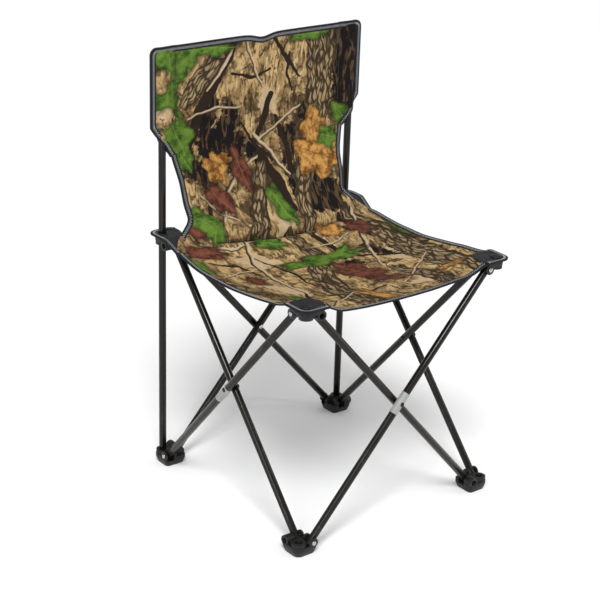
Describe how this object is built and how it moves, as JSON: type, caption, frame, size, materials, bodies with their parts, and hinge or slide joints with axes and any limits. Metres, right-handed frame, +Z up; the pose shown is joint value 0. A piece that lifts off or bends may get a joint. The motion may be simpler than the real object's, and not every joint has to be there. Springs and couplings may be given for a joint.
{
  "type": "folding camp chair",
  "caption": "Armless folding camp chair: crossed steel tubes on moulded corners, and a printed cloth sling for seat and low back.",
  "frame": {"origin": "on the floor, at the centre of the square made by the four feet, which is also the bottom centre of the bounding box", "axes": "+Z up; the seat faces -Y; +X is to the right of someone who looks along +Y, from the front of the chair to its back"},
  "size_m": [0.449, 0.4427, 0.762],
  "materials": {
    "tube": "satin brown-black powder coat on thin steel tube",
    "moulding": "black moulded nylon with a fine grain",
    "rivet": "bright domed rivet heads",
    "label": "blank pale grey sticker wrapped round a tube",
    "print": "coated polyester cloth with a woodland leaf and bark print",
    "patch": "black reinforcing cloth and webbing"
  },
  "bodies": {
    "root": {"foot_rear_left": "moulding", "foot_pin_rear_left_outer": "rivet", "foot_pin_rear_left_inner": "rivet", "upright_left": "tube", "upright_plug_left": "moulding", "sleeve_left": "print", "back_panel": "print"},
    "rear_inner": {"rear_tube_inner": "tube", "rivet_rear": "rivet"},
    "rear_outer": {"rear_tube_outer": "tube"},
    "slider_left": {"slider_rear_left": "moulding", "slider_pin_rear_left_outer": "rivet", "slider_pin_rear_left_inner": "rivet", "rear_tab_left": "patch", "eyelet_left": "moulding"},
    "foot_rear_right": {"foot_rear_right": "moulding", "foot_pin_rear_right_outer": "rivet", "foot_pin_rear_right_inner": "rivet", "upright_right": "tube", "upright_plug_right": "moulding", "sleeve_right": "print"},
    "slider_right": {"slider_rear_right": "moulding", "slider_pin_rear_right_outer": "rivet", "slider_pin_rear_right_inner": "rivet", "rear_tab_right": "patch", "eyelet_right": "moulding"},
    "right_inner": {"right_tube_inner": "tube", "rivet_right": "rivet"},
    "right_outer": {"right_tube_outer": "tube"},
    "foot_front_right": {"foot_front_right": "moulding", "foot_pin_front_right_outer": "rivet", "foot_pin_front_right_inner": "rivet"},
    "hub_front_right": {"hub_front_right": "moulding", "hub_pin_front_right_outer": "rivet", "hub_pin_front_right_inner": "rivet", "corner_patch_front_right": "patch", "corner_cap_front_right": "moulding"},
    "left_outer": {"left_tube_outer": "tube", "rivet_left": "rivet", "label_left": "label"},
    "left_inner": {"left_tube_inner": "tube"},
    "hub_front_left": {"hub_front_left": "moulding", "hub_pin_front_left_outer": "rivet", "hub_pin_front_left_inner": "rivet", "corner_patch_front_left": "patch", "corner_cap_front_left": "moulding"},
    "foot_front_left": {"foot_front_left": "moulding", "foot_pin_front_left_outer": "rivet", "foot_pin_front_left_inner": "rivet"},
    "front_outer": {"front_tube_outer": "tube", "rivet_front": "rivet", "label_front": "label"},
    "front_inner": {"front_tube_inner": "tube"},
    "sling_middle": {"lower_back": "print"},
    "sling_rear": {"seat_rear": "print"},
    "sling_front": {"seat_front": "print"}
  },
  "joints": [
    {"name": "fold", "type": "hinge", "parent": "root", "child": "rear_inner", "pos_m": [-0.1795, 0.1904, 0.02], "axis": [0, -1, 0], "range_deg": [0, 38], "deforming": ["back_panel", "lower_back", "seat_rear", "seat_front"]},
    {"name": "rear_cross", "type": "hinge", "parent": "rear_inner", "child": "rear_outer", "pos_m": [0, 0.1975, 0.2215], "axis": [0, 1, 0], "range_deg": [0, 76]},
    {"name": "slider_left_turn", "type": "hinge", "parent": "rear_outer", "child": "slider_left", "pos_m": [-0.1795, 0.2046, 0.423], "axis": [0, -1, 0], "range_deg": [0, 38]},
    {"name": "foot_rear_right_turn", "type": "hinge", "parent": "rear_outer", "child": "foot_rear_right", "pos_m": [0.1795, 0.2046, 0.02], "axis": [0, -1, 0], "range_deg": [0, 38]},
    {"name": "slider_right_turn", "type": "hinge", "parent": "rear_inner", "child": "slider_right", "pos_m": [0.1795, 0.1904, 0.423], "axis": [0, 1, 0], "range_deg": [0, 38]},
    {"name": "right_lift", "type": "hinge", "parent": "foot_rear_right", "child": "right_inner", "pos_m": [0.1904, 0.1795, 0.02], "axis": [-1, 0, 0], "range_deg": [0, 38]},
    {"name": "right_cross", "type": "hinge", "parent": "right_inner", "child": "right_outer", "pos_m": [0.1975, 0, 0.2215], "axis": [1, 0, 0], "range_deg": [0, 76]},
    {"name": "foot_front_right_turn", "type": "hinge", "parent": "right_outer", "child": "foot_front_right", "pos_m": [0.2046, -0.1795, 0.02], "axis": [-1, 0, 0], "range_deg": [0, 38]},
    {"name": "hub_front_right_turn", "type": "hinge", "parent": "right_inner", "child": "hub_front_right", "pos_m": [0.1904, -0.1795, 0.423], "axis": [1, 0, 0], "range_deg": [0, 38]},
    {"name": "left_lift", "type": "hinge", "parent": "root", "child": "left_outer", "pos_m": [-0.2046, 0.1795, 0.02], "axis": [-1, 0, 0], "range_deg": [0, 38]},
    {"name": "left_cross", "type": "hinge", "parent": "left_outer", "child": "left_inner", "pos_m": [-0.1975, 0, 0.2215], "axis": [1, 0, 0], "range_deg": [0, 76]},
    {"name": "hub_front_left_turn", "type": "hinge", "parent": "left_outer", "child": "hub_front_left", "pos_m": [-0.2046, -0.1795, 0.423], "axis": [1, 0, 0], "range_deg": [0, 38]},
    {"name": "foot_front_left_turn", "type": "hinge", "parent": "left_inner", "child": "foot_front_left", "pos_m": [-0.1904, -0.1795, 0.02], "axis": [-1, 0, 0], "range_deg": [0, 38]},
    {"name": "front_lift", "type": "hinge", "parent": "foot_front_left", "child": "front_outer", "pos_m": [-0.1795, -0.2046, 0.02], "axis": [0, -1, 0], "range_deg": [0, 38]},
    {"name": "front_cross", "type": "hinge", "parent": "front_outer", "child": "front_inner", "pos_m": [0, -0.1975, 0.2215], "axis": [0, 1, 0], "range_deg": [0, 76]},
    {"name": "sling_middle_drop", "type": "hinge", "parent": "root", "child": "sling_middle", "pos_m": [0, 0.202, 0.622], "axis": [-1, 0, 0], "range_deg": [0, 83.8]},
    {"name": "sling_rear_drop", "type": "hinge", "parent": "slider_left", "child": "sling_rear", "pos_m": [0, 0.16, 0.44], "axis": [1, 0, 0], "range_deg": [0, 80]},
    {"name": "sling_front_drop", "type": "hinge", "parent": "hub_front_left", "child": "sling_front", "pos_m": [0, -0.19, 0.4365], "axis": [-1, 0, 0], "range_deg": [0, 80]}
  ],
  "couplings": [
    {"joint": "rear_cross", "follows": "fold", "ratio": 2},
    {"joint": "slider_left_turn", "follows": "fold", "ratio": 1},
    {"joint": "foot_rear_right_turn", "follows": "fold", "ratio": 1},
    {"joint": "slider_right_turn", "follows": "fold", "ratio": 1},
    {"joint": "right_lift", "follows": "fold", "ratio": 1},
    {"joint": "right_cross", "follows": "fold", "ratio": 2},
    {"joint": "foot_front_right_turn", "follows": "fold", "ratio": 1},
    {"joint": "hub_front_right_turn", "follows": "fold", "ratio": 1},
    {"joint": "left_lift", "follows": "fold", "ratio": 1},
    {"joint": "left_cross", "follows": "fold", "ratio": 2},
    {"joint": "hub_front_left_turn", "follows": "fold", "ratio": 1},
    {"joint": "foot_front_left_turn", "follows": "fold", "ratio": 1},
    {"joint": "front_lift", "follows": "fold", "ratio": 1},
    {"joint": "front_cross", "follows": "fold", "ratio": 2},
    {"joint": "sling_middle_drop", "follows": "fold", "ratio": 2.2},
    {"joint": "sling_rear_drop", "follows": "fold", "ratio": 2.1},
    {"joint": "sling_front_drop", "follows": "fold", "ratio": 2.1}
  ]
}
